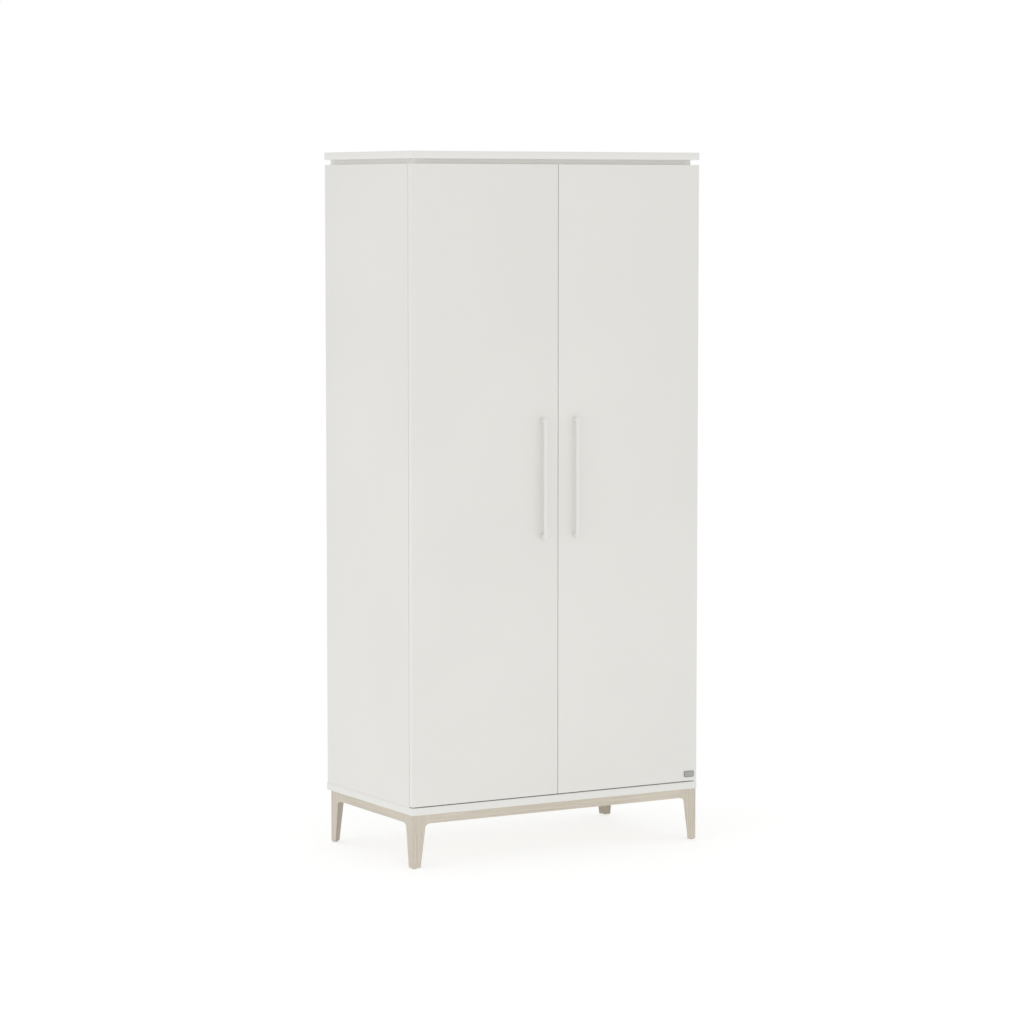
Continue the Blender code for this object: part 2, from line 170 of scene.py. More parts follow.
def cutAway(piece, cutters):
    cutter = joinAll(cutters)
    useModifier(piece, "BOOLEAN", operation="DIFFERENCE", solver="EXACT", object=cutter)
    bpy.data.objects.remove(cutter, do_unlink=True)
    return piece


def copyTo(model, place):
    # a copy with its own mesh, moved by a matrix
    twin = bpy.data.objects.new(model.name, model.data.copy())
    bpy.context.scene.collection.objects.link(twin)
    twin.data.transform(place)
    return twin


def facing(point, normal):
    # the place of a model that stands on a face: its +Z turns to the face's normal
    return Matrix.Translation(point) @ Vector(normal).to_track_quat("Z", "Y").to_matrix().to_4x4()


def scatter(model, places):
    return joinAll([copyTo(model, place) for place in places])


def drop(*models):
    for model in models:
        bpy.data.objects.remove(model, do_unlink=True)


def finishPiece(piece, name, material, body=None, stands=(), smooth=35):
    piece.name = name
    piece.data.name = name
    piece.data.materials.clear()
    piece.data.materials.append(material)
    only(piece)
    bpy.ops.object.shade_smooth_by_angle(angle=math.radians(smooth))
    if body:
        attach(piece, body)
    if stands:
        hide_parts(*stands)
    return piece


def paintFaces(piece, material, wanted):
    # gives the faces that pass the test another material
    piece.data.materials.append(material)
    number = len(piece.data.materials) - 1
    for face in piece.data.polygons:
        if wanted(face.center, face.normal):
            face.material_index = number


def middle(node):
    low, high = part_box(node)
    return (low + high) / 2


# node groups that the materials share

def newGroup(name, inputs, outputs):
    group = bpy.data.node_groups.new(name, "ShaderNodeTree")
    for title, kind, value in inputs:
        socket = group.interface.new_socket(name=title, in_out="INPUT", socket_type=kind)
        if value is not None:
            socket.default_value = value
    for title, kind in outputs:
        group.interface.new_socket(name=title, in_out="OUTPUT", socket_type=kind)
    return group, group.nodes.new("NodeGroupInput"), group.nodes.new("NodeGroupOutput")


def addNode(tree, kind, **settings):
    node = tree.nodes.new(kind)
    for key, value in settings.items():
        setattr(node, key, value)
    return node


def addMath(tree, operation, first, second):
    node = addNode(tree, "ShaderNodeMath", operation=operation)
    for number, value in enumerate((first, second)):
        if isinstance(value, (int, float)):
            node.inputs[number].default_value = value
        else:
            tree.links.new(value, node.inputs[number])
    return node.outputs[0]


def addNoise(tree, vector, scale, detail=2.0, rough=0.5):
    noise = addNode(tree, "ShaderNodeTexNoise")
    noise.inputs["Detail"].default_value = detail
    noise.inputs["Roughness"].default_value = rough
    tree.links.new(vector, noise.inputs["Vector"])
    if isinstance(scale, (int, float)):
        noise.inputs["Scale"].default_value = scale
    else:
        tree.links.new(scale, noise.inputs["Scale"])
    return noise.outputs["Fac"]


def addStretch(tree, vector, amounts):
    stretch = addNode(tree, "ShaderNodeVectorMath", operation="MULTIPLY")
    tree.links.new(vector, stretch.inputs[0])
    stretch.inputs[1].default_value = amounts
    return stretch.outputs[0]


def addMix(tree, factor, first, second):
    mix = addNode(tree, "ShaderNodeMix", data_type="RGBA")
    for name, value in (("Factor", factor), ("A", first), ("B", second)):
        socket = next(s for s in mix.inputs if s.name == name and (s.type == "RGBA" or name == "Factor"))
        if isinstance(value, (int, float)):
            socket.default_value = value
        elif isinstance(value, tuple):
            socket.default_value = (*value, 1)
        else:
            tree.links.new(value, socket)
    return next(s for s in mix.outputs if s.type == "RGBA")


def addSpread(tree, value, low, high):
    # takes low to 0 and high to 1, and stays between them
    spread = addNode(tree, "ShaderNodeMapRange", clamp=True)
    spread.inputs["From Min"].default_value = low
    spread.inputs["From Max"].default_value = high
    tree.links.new(value, spread.inputs["Value"])
    return spread.outputs["Result"]


def makeSpeckle():
    # a fine moulded or printed surface: slight cloudiness, tiny pits and a height to go with them
    group, given, result = newGroup(
        "fineSpeckle",
        [
            ("Vector", "NodeSocketVector", None),
            ("Colour", "NodeSocketColor", (0.8, 0.8, 0.8, 1)),
            ("Cloud Colour", "NodeSocketColor", (0.75, 0.75, 0.75, 1)),
            ("Grain Scale", "NodeSocketFloat", 900.0),
            ("Roughness", "NodeSocketFloat", 0.45),
            ("Roughness Spread", "NodeSocketFloat", 0.06),
        ],
        [("Colour", "NodeSocketColor"), ("Roughness", "NodeSocketFloat"), ("Height", "NodeSocketFloat")],
    )
    vector = given.outputs["Vector"]
    cloud = addNoise(group, vector, 2.2, 3.0)
    fine = addNoise(group, vector, given.outputs["Grain Scale"], 2.0, 0.6)
    cloudShare = addMath(group, "MULTIPLY", addSpread(group, cloud, 0.35, 0.7), 0.6)
    fineShare = addMath(group, "MULTIPLY", addSpread(group, fine, 0.4, 0.75), 0.4)
    share = addMath(group, "ADD", cloudShare, fineShare)
    colour = addMix(group, share, given.outputs["Colour"], given.outputs["Cloud Colour"])
    group.links.new(colour, result.inputs["Colour"])
    drift = addMath(group, "SUBTRACT", fine, 0.5)
    drift = addMath(group, "MULTIPLY", drift, given.outputs["Roughness Spread"])
    rough = addMath(group, "ADD", given.outputs["Roughness"], drift)
    group.links.new(rough, result.inputs["Roughness"])
    group.links.new(fine, result.inputs["Height"])
    return group


def makeOakGrain():
    # straight-sawn oak with its grain along X of the vector it is given
    group, given, result = newGroup(
        "oakGrain",
        [
            ("Vector", "NodeSocketVector", None),
            ("Pale", "NodeSocketColor", (0.65, 0.58, 0.5, 1)),
            ("Dark", "NodeSocketColor", (0.45, 0.38, 0.3, 1)),
            ("Pore Depth", "NodeSocketFloat", 0.5),
        ],
        [("Colour", "NodeSocketColor"), ("Roughness", "NodeSocketFloat"), ("Height", "NodeSocketFloat")],
    )
    vector = given.outputs["Vector"]
    # each noise is squeezed across the grain, by how often it repeats in a metre
    drift = addNoise(group, addStretch(group, vector, (2.5, 14, 14)), 1.0, 3.0)
    bands = addNoise(group, addStretch(group, vector, (4, 190, 190)), 1.0, 4.0, 0.6)
    pores = addNoise(group, addStretch(group, vector, (38, 1500, 1500)), 1.0, 2.0, 0.7)
    flecks = addNoise(group, addStretch(group, vector, (16, 520, 520)), 1.0, 2.0, 0.5)
    bandShare = addMath(group, "MULTIPLY", addSpread(group, bands, 0.3, 0.72), 0.5)
    driftShare = addMath(group, "MULTIPLY", addSpread(group, drift, 0.3, 0.75), 0.28)
    fleckShare = addMath(group, "MULTIPLY", addSpread(group, flecks, 0.52, 0.75), 0.35)
    share = addMath(group, "ADD", addMath(group, "ADD", bandShare, driftShare), fleckShare)
    colour = addMix(group, share, given.outputs["Pale"], given.outputs["Dark"])
    poreMask = addMath(group, "MULTIPLY", addSpread(group, pores, 0.58, 0.74), given.outputs["Pore Depth"])
    colour = addMix(group, poreMask, colour, (0.3, 0.25, 0.2))
    group.links.new(colour, result.inputs["Colour"])
    rough = addMath(group, "ADD", addMath(group, "MULTIPLY", share, 0.1), 0.5)
    group.links.new(rough, result.inputs["Roughness"])
    height = addMath(group, "SUBTRACT", addMath(group, "MULTIPLY", bands, 0.5), poreMask)
    group.links.new(height, result.inputs["Height"])
    return group


def makeBrushed():
    # fine scratches along X of the vector it is given
    group, given, result = newGroup(
        "brushedMetal",
        [
            ("Vector", "NodeSocketVector", None),
            ("Colour", "NodeSocketColor", (0.7, 0.7, 0.7, 1)),
            ("Roughness", "NodeSocketFloat", 0.3),
            ("Scratches", "NodeSocketFloat", 0.15),
        ],
        [("Colour", "NodeSocketColor"), ("Roughness", "NodeSocketFloat"), ("Height", "NodeSocketFloat")],
    )
    vector = given.outputs["Vector"]
    lines = addNoise(group, addStretch(group, vector, (60, 3000, 3000)), 1.0, 3.0, 0.6)
    smudge = addNoise(group, vector, 40.0, 2.0)
    dim = addMath(group, "MULTIPLY", addSpread(group, lines, 0.3, 0.8), 0.25)
    colour = addMix(group, dim, given.outputs["Colour"], (0.35, 0.35, 0.35))
    group.links.new(colour, result.inputs["Colour"])
    spread = addMath(group, "MULTIPLY", lines, given.outputs["Scratches"])
    rough = addMath(group, "ADD", addMath(group, "ADD", given.outputs["Roughness"], spread), -0.05)
    rough = addMath(group, "ADD", rough, addMath(group, "MULTIPLY", smudge, 0.08))
    group.links.new(rough, result.inputs["Roughness"])
    group.links.new(lines, result.inputs["Height"])
    return group


# materials, each with its own values for one of the groups

reliefDepth = 0.2 * mm


def newMaterial(name, group, values, bump, along="X", **fixed):
    material = bpy.data.materials.new(name)
    material.use_nodes = True
    tree = material.node_tree
    shader = tree.nodes["Principled BSDF"]
    for key, value in fixed.items():
        shader.inputs[key.replace("_", " ")].default_value = value
    place = addNode(tree, "ShaderNodeTexCoord")
    turn = addNode(tree, "ShaderNodeMapping")
    turn.inputs["Rotation"].default_value = {
        "X": (0, 0, 0),
        "Y": (0, 0, math.radians(90)),
        "Z": (0, math.radians(90), 0),
    }[along]
    effect = addNode(tree, "ShaderNodeGroup")
    effect.node_tree = group
    for key, value in values.items():
        effect.inputs[key].default_value = value
    relief = addNode(tree, "ShaderNodeBump")
    relief.inputs["Strength"].default_value = bump
    relief.inputs["Distance"].default_value = reliefDepth
    tree.links.new(place.outputs["Object"], turn.inputs["Vector"])
    tree.links.new(turn.outputs["Vector"], effect.inputs["Vector"])
    tree.links.new(effect.outputs["Colour"], shader.inputs["Base Color"])
    tree.links.new(effect.outputs["Roughness"], shader.inputs["Roughness"])
    tree.links.new(effect.outputs["Height"], relief.inputs["Height"])
    tree.links.new(relief.outputs["Normal"], shader.inputs["Normal"])
    return material


speckle = makeSpeckle()
oakGrain = makeOakGrain()
brushed = makeBrushed()


def newPaint(name, colour, cloud, rough, bump, grain=900.0, **fixed):
    values = {"Colour": (*colour, 1), "Cloud Colour": (*cloud, 1), "Grain Scale": grain, "Roughness": rough}
    return newMaterial(name, speckle, values, bump, **fixed)


def newOak(name, along, pale=(0.69, 0.635, 0.54), dark=(0.47, 0.425, 0.34)):
    values = {"Pale": (*pale, 1), "Dark": (*dark, 1), "Pore Depth": 0.4}
    return newMaterial(name, oakGrain, values, 0.35, along)


def newMetal(name, along, colour, rough, scratches, bump, metallic=1.0):
    values = {"Colour": (*colour, 1), "Roughness": rough, "Scratches": scratches}
    return newMaterial(name, brushed, values, bump, along, Metallic=metallic)


laminate = newPaint("whiteLaminate", (0.785, 0.777, 0.742), (0.755, 0.748, 0.715), rough=0.42, bump=0.12)
# a lighter copy of the white laminate for the recess strips: painted light in the shaded recess under the top
# slab
recessPaintedLight = newPaint("whiteRecessPaintedLight", (0.90, 0.89, 0.855), (0.88, 0.87, 0.835), rough=0.5, bump=0.12)
edgeBand = newPaint(
    "whiteEdgeBand", (0.79, 0.785, 0.755), (0.77, 0.765, 0.735), rough=0.36, bump=0.06, grain=500.0
)
chipboard = newPaint(
    "rawChipboard", (0.47, 0.36, 0.24), (0.26, 0.18, 0.11), rough=0.85, bump=0.6, grain=420.0
)
hardboard = newPaint(
    "whiteHardboard", (0.76, 0.75, 0.73), (0.71, 0.70, 0.675), rough=0.6, bump=0.3, grain=650.0
)
handlePaint = newPaint(
    "whitePowderCoat", (0.785, 0.78, 0.755), (0.76, 0.755, 0.73), rough=0.34, bump=0.15, grain=1400.0
)
glidePlastic = newPaint(
    "glidePlastic", (0.62, 0.61, 0.59), (0.55, 0.54, 0.52), rough=0.5, bump=0.2, grain=1100.0
)
bumperGel = newPaint(
    "bumperGel",
    (0.82, 0.84, 0.83),
    (0.78, 0.80, 0.79),
    rough=0.18,
    bump=0.05,
    grain=300.0,
    Transmission_Weight=0.5,
)
oakAlong = {
    "X": newOak("oakAcross", "X"),
    "Y": newOak("oakDeep", "Y"),
    "Z": newOak("oakUpright", "Z"),
}
oakPaintedShade = newOak("oakInnerPaintedShade", "Z", (0.47, 0.42, 0.34), (0.32, 0.28, 0.21))  # darker copy of the oak: painted shade on the legs' inner faces, which look in under the base
nickel = newMetal("nickelSteel", "Y", (0.66, 0.655, 0.64), rough=0.28, scratches=0.14, bump=0.08)
chrome = newMetal("railChrome", "X", (0.78, 0.78, 0.785), rough=0.14, scratches=0.06, bump=0.03)
plaqueMetal = newMetal(
    "plaqueMetal", "X", (0.42, 0.42, 0.41), rough=0.42, scratches=0.12, bump=0.05, metallic=0.6
)
plaqueRim = newMetal(
    "plaqueRim", "X", (0.10, 0.10, 0.098), rough=0.4, scratches=0.08, bump=0.05, metallic=0.3
)
print("materials made:", len(bpy.data.materials))


def finishSteel(piece, name, body=None, stands=()):
    return finishPiece(piece, name, nickel, body, stands)


# boards: slabs, carcass, shelves, recess strips, back and doors

boards = {
    "edgeRadius": 0.5 * mm,
    "slabRadius": 0.7 * mm,
    "backRadius": 0.25 * mm,
    "edgeSteps": 3,
    "flatFrom": 0.7,  # a face that turns further from the board's flat is edge
    "skin": 1.2 * mm,  # what lies deeper than this in a bore is raw board
    "jointGap": 0.3 * mm,  # left between touching solids in the frame, closed here
}
meets = {
    # the faces that butt against a neighbour: x, y or z, and its low or high side
    "left_side_panel": "z-",
    "right_side_panel": "z-",
    "centre_divider": "z- z+",
    "carcass_top_panel": "x- x+",
    "hat_shelf": "x- x+ y+",
    "fixed_shelf": "x- x+ y+",
    "recess_strip_front": "z- z+",
    "recess_strip_back": "z- z+",
    "recess_strip_left": "y- y+ z- z+",
    "recess_strip_right": "y- y+ z- z+",
    "back_panel_left": "y- z- x+",
    "back_panel_right": "y- z- x-",
    "base_rail_front": "x- x+ z+",
    "base_rail_back": "x- x+ z+",
    "base_rail_left": "y- y+ z+",
    "base_rail_right": "y- y+ z+",
}


def meetingFaces(node):
    # the axis of each butting face, and 0 for its low side or 1 for its high side
    return [("xyz".index(face[0]), "-+".index(face[1])) for face in meets.get(node, "").split()]


def butted(node):
    # a node's box, grown over the modelling gap where it meets its neighbours
    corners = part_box(node)
    for axis, end in meetingFaces(node):
        corners[end][axis] += boards["jointGap"] * (1 if end else -1)
    return corners


def roundFree(piece, node, radius, steps):
    # rounds every edge but those that lie against a neighbour
    corners = butted(node)
    touching = [(axis, corners[end][axis]) for axis, end in meetingFaces(node)]

    def isFree(edge):
        return not any(abs(halfway(edge)[axis] - level) < near for axis, level in touching)

    bevelEdges(piece, radius, steps, isFree)


def makeBoard(node, body="carcass", radius=boards["edgeRadius"], bores=(), face=laminate, band=edgeBand):
    low, high = butted(node)
    board = addBlock(low, high)
    roundFree(board, node, radius, boards["edgeSteps"])
    if bores:
        cutAway(board, [addRod(*bore) for bore in bores])
    finishPiece(board, f"{node}_board", face, body, [node])
    thin = min(range(3), key=lambda axis: high[axis] - low[axis])
    paintFaces(board, band, lambda centre, normal: abs(normal[thin]) < boards["flatFrom"])
    if bores:
        skin = boards["skin"]
        paintFaces(
            board,
            chipboard,
            lambda centre, normal: all(low[i] + skin < centre[i] < high[i] - skin for i in range(3)),
        )
    return board


for node in ("top_slab", "bottom_slab"):
    makeBoard(node, radius=boards["slabRadius"])
for node in ("left_side_panel", "carcass_top_panel", "hat_shelf", "fixed_shelf"):
    makeBoard(node)
for number in (1, 2, 3):
    makeBoard(f"loose_shelf_{number}")
for place in ("front", "back", "left", "right"):
    # the recess strips get the lighter laminate, as painted light in the recess
    makeBoard(f"recess_strip_{place}", face=recessPaintedLight, band=recessPaintedLight)
print("boards done")


# uprights of the right compartment, with rows of shelf-pin holes

pinHoles = {
    "radius": 2.5 * mm,
    "depth": 10 * mm,
    "pitch": 32 * mm,
    "each": 2,  # holes above and below the one in use
    "fromEdge": 37 * mm,
    "roundSteps": 16,
}
pins = {
    "radius": 2.4 * mm,
    "inBoard": 9 * mm,
    "out": 9 * mm,
    "tipRadius": 0.5 * mm,
    "collarRadius": 3.4 * mm,
    "collarFrom": 0.1 * mm,
    "collarTo": 0.7 * mm,
    "collarEdge": 0.15 * mm,
}
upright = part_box("right_side_panel")
rowsY = (upright[0].y + pinHoles["fromEdge"], upright[1].y - pinHoles["fromEdge"])
# the X of each face with pins, and the way into its board
pinFaces = ((upright[0].x, 1), (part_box("centre_divider")[1].x, -1))
pinHeights = [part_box(f"loose_shelf_{number}")[0].z - pinHoles["radius"] for number in (1, 2, 3)]


def pinBores(face, inward):
    start, end = face - inward * 2 * past, face + inward * pinHoles["depth"]
    levels = [
        height + step * pinHoles["pitch"]
        for height in pinHeights
        for step in range(-pinHoles["each"], pinHoles["each"] + 1)
    ]
    return [
        (pinHoles["radius"], (start, y, level), (end, y, level), pinHoles["roundSteps"])
        for y in rowsY
        for level in levels
    ]


makeBoard("right_side_panel", bores=pinBores(*pinFaces[0]))
makeBoard("centre_divider", bores=pinBores(*pinFaces[1]))


def modelPin():
    # points out along +Z, with its shank below
    shank = addRod(pins["radius"], (0, 0, -pins["inBoard"]), (0, 0, pins["out"]), 16)
    roundEdges(shank, pins["tipRadius"], 2)
    collar = addRod(pins["collarRadius"], (0, 0, pins["collarFrom"]), (0, 0, pins["collarTo"]), 20)
    roundEdges(collar, pins["collarEdge"], 2)
    return joinAll([shank, collar])


pinModel = modelPin()
for number, height in enumerate(pinHeights, 1):
    places = [
        facing((face, y, height), (-inward, 0, 0))
        for face, inward in pinFaces
        for y in rowsY
    ]
    finishSteel(scatter(pinModel, places), f"shelf_pins_{number}", "carcass")
drop(pinModel)
print("uprights and shelf pins done")


# back panels, with the nails that hold them

nails = {
    "radius": 2.0 * mm,
    "height": 0.4 * mm,
    "edgeRadius": 0.15 * mm,
    "spacing": 115 * mm,
    "fromEdge": 8 * mm,
}


def makeBackPanel(node):
    panel = addBlock(*butted(node))
    roundFree(panel, node, boards["backRadius"], 2)
    finishPiece(panel, f"{node}_board", hardboard, "carcass", [node])


def edgePlaces(node):
    # evenly spaced points round a back panel's rim, on its rear face
    low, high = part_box(node)
    left, right = low.x + nails["fromEdge"], high.x - nails["fromEdge"]
    bottom, top = low.z + nails["fromEdge"], high.z - nails["fromEdge"]
    upCount = round((top - bottom) / nails["spacing"])
    acrossCount = round((right - left) / nails["spacing"])
    points = []
    for step in range(upCount + 1):
        level = bottom + (top - bottom) * step / upCount
        points += [(left, level), (right, level)]
    for step in range(1, acrossCount):
        across = left + (right - left) * step / acrossCount
        points += [(across, bottom), (across, top)]
    return [facing((x, high.y, z), (0, 1, 0)) for x, z in points]


nailModel = addRod(nails["radius"], (0, 0, -nails["height"]), (0, 0, nails["height"]), 12)
roundEdges(nailModel, nails["edgeRadius"], 1)
for side in sides:
    makeBackPanel(f"back_panel_{side}")
    rim = scatter(nailModel, edgePlaces(f"back_panel_{side}"))
    finishSteel(rim, f"back_nails_{side}", "carcass")
drop(nailModel)
print("back done")


# screws and cam locks

screws = {
    "radius": 3.4 * mm,
    "height": 1.5 * mm,
    "dome": 1.0 * mm,
    "crossLength": 4.0 * mm,
    "crossWidth": 0.9 * mm,
    "crossDepth": 0.9 * mm,
}
camLocks = {
    "radius": 7.5 * mm,
    "height": 0.5 * mm,
    "dome": 0.25 * mm,
    "crossLength": 7.0 * mm,
    "crossWidth": 1.6 * mm,
    "crossDepth": 0.3 * mm,
    "fromEnd": 34 * mm,
    "fromFront": 50 * mm,
}


def modelHead(shape):
    # a round head on z = 0 with a cross recess in its top
    top = shape["height"]
    head = addRod(shape["radius"], (0, 0, 0), (0, 0, top), 28)
    bevelEdges(head, shape["dome"], 4, lambda edge: halfway(edge).z > top * 0.9)
    reach, half = shape["crossLength"] / 2, shape["crossWidth"] / 2
    floor = top - shape["crossDepth"]
    cross = [
        addBlock((-reach, -half, floor), (reach, half, top + past)),
        addBlock((-half, -reach, floor), (half, reach, top + past)),
    ]
    useModifier(cross[0], "BOOLEAN", operation="UNION", solver="EXACT", object=cross[1])
    drop(cross[1])
    return cutAway(head, [cross[0]])


screwModel = modelHead(screws)
camModel = modelHead(camLocks)


def camsUnder(node):
    low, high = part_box(node)
    xs = (low.x + camLocks["fromEnd"], high.x - camLocks["fromEnd"])
    ys = (low.y + camLocks["fromFront"], high.y - camLocks["fromFront"])
    places = [facing((x, y, low.z), (0, 0, -1)) for x in xs for y in ys]
    finishSteel(scatter(camModel, places), f"cam_locks_{node}", "carcass")


def camsOn(node, face, normal):
    # at the foot of an upright
    low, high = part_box(node)
    ys = (low.y + camLocks["fromFront"], high.y - camLocks["fromFront"])
    places = [facing((face, y, low.z + camLocks["fromEnd"]), normal) for y in ys]
    finishSteel(scatter(camModel, places), f"cam_locks_{node}", "carcass")


for node in ("hat_shelf", "fixed_shelf", "carcass_top_panel"):
    camsUnder(node)
camsOn("left_side_panel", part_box("left_side_panel")[1].x, (1, 0, 0))
camsOn("right_side_panel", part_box("right_side_panel")[0].x, (-1, 0, 0))
camsOn("centre_divider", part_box("centre_divider")[0].x, (-1, 0, 0))
print("cam locks done")


# oak base

legs = {
    "footWidth": 25 * mm,
    "blunt": 3 * mm,
    "taperTop": 112 * mm,
    "taperWidth": 40 * mm,
    "flareSteps": 8,
    "sharp": 40,  # degrees; an edge that turns less is part of a curve
    "edgeRadius": 0.9 * mm,
}
rails = {"edgeRadius": 0.9 * mm}
glides = {"rimRadius": 0.3 * mm, "dish": 0.5 * mm, "dishInset": 0.45}


def modelLeg():
    # its outer corner stands on the Z axis and it spreads to +X and +Y; the inner face runs across the corner
    low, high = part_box("leg_front_left")
    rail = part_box("base_rail_front")
    headWidth, underside, headBlunt = high.x - low.x, rail[0].z, rail[1].y - rail[0].y
    width, blunt = legs["footWidth"], legs["blunt"]
    leg = addBlock((0, 0, low.z), (width, width, legs["taperTop"]))
    bevelEdges(leg, width - blunt, 1, lambda edge: min(halfway(edge).xy) > width / 2 and runsAlong(edge, 2))
    levels = [(0, legs["taperWidth"], blunt)]
    stepTurn = math.pi / 2 / legs["flareSteps"]
    for step in range(1, legs["flareSteps"] + 1):
        turn = stepTurn * step
        rise = (underside - legs["taperTop"]) * (math.sin(turn) - math.sin(turn - stepTurn))
        spread = 1 - math.cos(turn)
        newWidth = legs["taperWidth"] + (headWidth - legs["taperWidth"]) * spread
        levels.append((rise, newWidth, blunt + (headBlunt - blunt) * spread))
    levels.append((high.z + boards["jointGap"] - underside, headWidth, headBlunt))
    top = legs["taperTop"]
    for rise, newWidth, newBlunt in levels:
        pick(leg, "FACE", lambda face: face.calc_center_median().z > top - near)
        if rise:
            pull((0, 0, rise))
            top += rise
        bpy.ops.transform.resize(value=(newWidth / width, newWidth / width, 1), center_override=(0, 0, top))
        slide = newBlunt - blunt * newWidth / width
        for major, minor in ((0, 1), (1, 0)):
            pick(
                leg,
                "VERT",
                lambda vert: vert.co.z > top - near
                and vert.co[major] > newWidth - mm / 4
                and vert.co[minor] > mm / 10,
            )
            bpy.ops.transform.translate(value=(slide * minor, slide * major, 0))
        width, blunt = newWidth, newBlunt
    # rounded all along but for the head, which meets the rails flush
    bevelEdges(
        leg,
        legs["edgeRadius"],
        3,
        lambda edge: edge.calc_face_angle() > math.radians(legs["sharp"])
        and max(halfway(edge).xy) <= headWidth - mm / 10
        and min(vert.co.z for vert in edge.verts) <= high.z - mm / 10,
    )
    return leg


def modelGlide():
    low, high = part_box("glide_front_left")
    radius, height = (high.x - low.x) / 2, high.z - low.z
    glide = addRod(radius, (0, 0, 0), (0, 0, height), 32)
    pick(glide, "FACE", lambda face: looksAlong(face, 2, -1))
    bpy.ops.mesh.inset(thickness=radius * glides["dishInset"])
    pull((0, 0, glides["dish"]))
    leaveEdit()
    return roundEdges(glide, glides["rimRadius"], 2)


legModel, glideModel = modelLeg(), modelGlide()
# each corner, with which end of X and of Y it has, and the leg's turn in degrees
legCorners = {
    "front_left": (0, 0, 0),
    "front_right": (1, 0, 90),
    "back_right": (1, 1, 180),
    "back_left": (0, 1, 270),
}
for name, (right, rear, turn) in legCorners.items():
    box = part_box(f"leg_{name}")
    place = Matrix.Translation((box[right].x, box[rear].y, 0)) @ Matrix.Rotation(math.radians(turn), 4, "Z")
    leg = copyTo(legModel, place)
    finishPiece(leg, f"leg_{name}_oak", oakAlong["Z"], "carcass", [f"leg_{name}"])
    # the faces that look in under the base get the darker oak, as painted shade
    inward = Vector((1 - 2 * right, 1 - 2 * rear, 0)).normalized()
    paintFaces(leg, oakPaintedShade, lambda centre, normal: normal.dot(inward) > 0.75)
    centre = middle(f"glide_{name}")
    glide = copyTo(glideModel, Matrix.Translation((centre.x, centre.y, 0)))
    finishPiece(glide, f"glide_{name}_disc", glidePlastic, "carcass", [f"glide_{name}"])
drop(legModel, glideModel)
for place, along in (("front", "X"), ("back", "X"), ("left", "Y"), ("right", "Y")):
    node = f"base_rail_{place}"
    rail = addBlock(*butted(node))
    roundFree(rail, node, rails["edgeRadius"], 3)
    finishPiece(rail, f"{node}_oak", oakAlong[along], "carcass", [node])
print("oak base done")


# hanging rail and its sockets

railShape = {"wall": 1.2 * mm, "tubeEnd": 20 * mm}
sockets = {
    "flange": 3 * mm,
    "sleeveFrom": 1 * mm,
    "sleeveWall": 2.5 * mm,
    "clearance": 0.3 * mm,
    "edgeRadius": 0.6 * mm,
    "screwsApart": 40 * mm,
}


def addOval(radius, straight, start, end):
    # a rod along X, pulled apart upwards into an oval whose flat sides are straight long
    oval = addRod(radius, start, end, 48)
    level = start[2]
    for sign in (1, -1):
        pick(oval, "VERT", lambda vert: (vert.co.z - level) * sign > near)
        bpy.ops.transform.translate(value=(0, 0, sign * straight / 2))
    leaveEdit()
    return oval


def makeRail():
    low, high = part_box("hanging_rail")
    radius = (high.y - low.y) / 2
    straight = (high.z - low.z) - 2 * radius
    centre = middle("hanging_rail")
    rail = addOval(radius, straight, (low.x, centre.y, centre.z), (high.x, centre.y, centre.z))
    for sign in (1, -1):
        pick(rail, "FACE", lambda face: looksAlong(face, 0, sign))
        bpy.ops.mesh.inset(thickness=railShape["wall"])
        pull((-sign * railShape["tubeEnd"], 0, 0))
    leaveEdit()
    finishPiece(rail, "hanging_rail_tube", chrome, "carcass", ["hanging_rail"])
    return radius, straight


def makeSocket(side, outward, radius, straight):
    node = f"rail_socket_{side}"
    low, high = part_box(node)
    centre = middle(node)
    wall, mouth = (low.x, high.x) if outward < 0 else (high.x, low.x)
    foot = wall - outward * sockets["flange"]

    def onAxis(x, up=0):
        return (x, centre.y, centre.z + up)

    flangeRadius = (high.y - low.y) / 2
    flange = addOval(flangeRadius, high.z - low.z - 2 * flangeRadius, onAxis(wall), onAxis(foot))
    roundEdges(flange, sockets["edgeRadius"], 3)
    outside = radius + sockets["clearance"] + sockets["sleeveWall"]
    sleeve = addOval(outside, straight, onAxis(wall - outward * sockets["sleeveFrom"]), onAxis(mouth))
    pick(sleeve, "FACE", lambda face: looksAlong(face, 0, -outward))
    bpy.ops.mesh.inset(thickness=sockets["sleeveWall"])
    pull((foot - mouth, 0, 0))
    leaveEdit()
    roundEdges(sleeve, sockets["edgeRadius"] / 2, 2)
    reach = sockets["screwsApart"] / 2
    heads = [copyTo(screwModel, facing(onAxis(foot, up), (-outward, 0, 0))) for up in (reach, -reach)]
    finishSteel(joinAll([flange, sleeve, *heads]), f"{node}_cast", "carcass", [node])


oval = makeRail()
for side, outward in sides.items():
    makeSocket(side, outward, *oval)
print("hanging rail done")


# anti-tip brackets in the top rear corner

brackets = {
    "sheet": 2 * mm,
    "edgeRadius": 0.4 * mm,
    "slotRadius": 2.6 * mm,
    "slotLength": 9 * mm,
    "slotDepth": 3 * mm,
    "screwFromCentre": 10 * mm,
}


